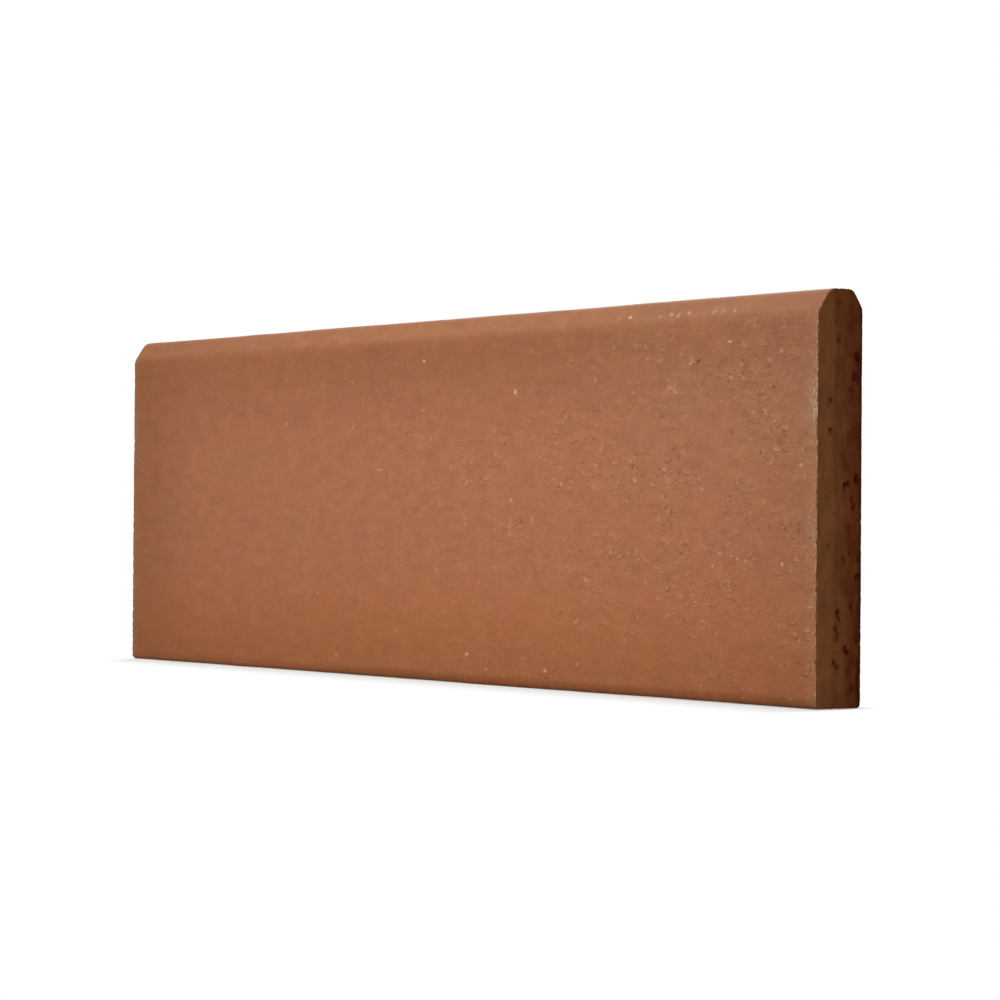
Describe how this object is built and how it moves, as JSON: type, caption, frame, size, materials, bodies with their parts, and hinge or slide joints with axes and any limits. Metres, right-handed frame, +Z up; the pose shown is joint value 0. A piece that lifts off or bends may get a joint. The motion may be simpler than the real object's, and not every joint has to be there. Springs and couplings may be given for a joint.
{
  "type": "clinker skirting tile",
  "caption": "Unglazed extruded clinker skirting tile, a thin upright bar of fired clay with a flat face, bevelled crown and square-cut ends, bonded to the foot of a wall above a tiled floor.",
  "frame": {"origin": "middle of the tile's foot, on the floor it stands on", "axes": "+X along the skirting to the right-hand cut end, -Y out of the face, +Y out of the wall side, +Z up to the bevelled crown"},
  "size_m": [0.245, 0.012, 0.08],
  "materials": {
    "fired_clay": "matte unglazed fired clay with a fine rough grain"
  },
  "bodies": {
    "root": {"skirting_tile": "fired_clay"}
  },
  "joints": []
}
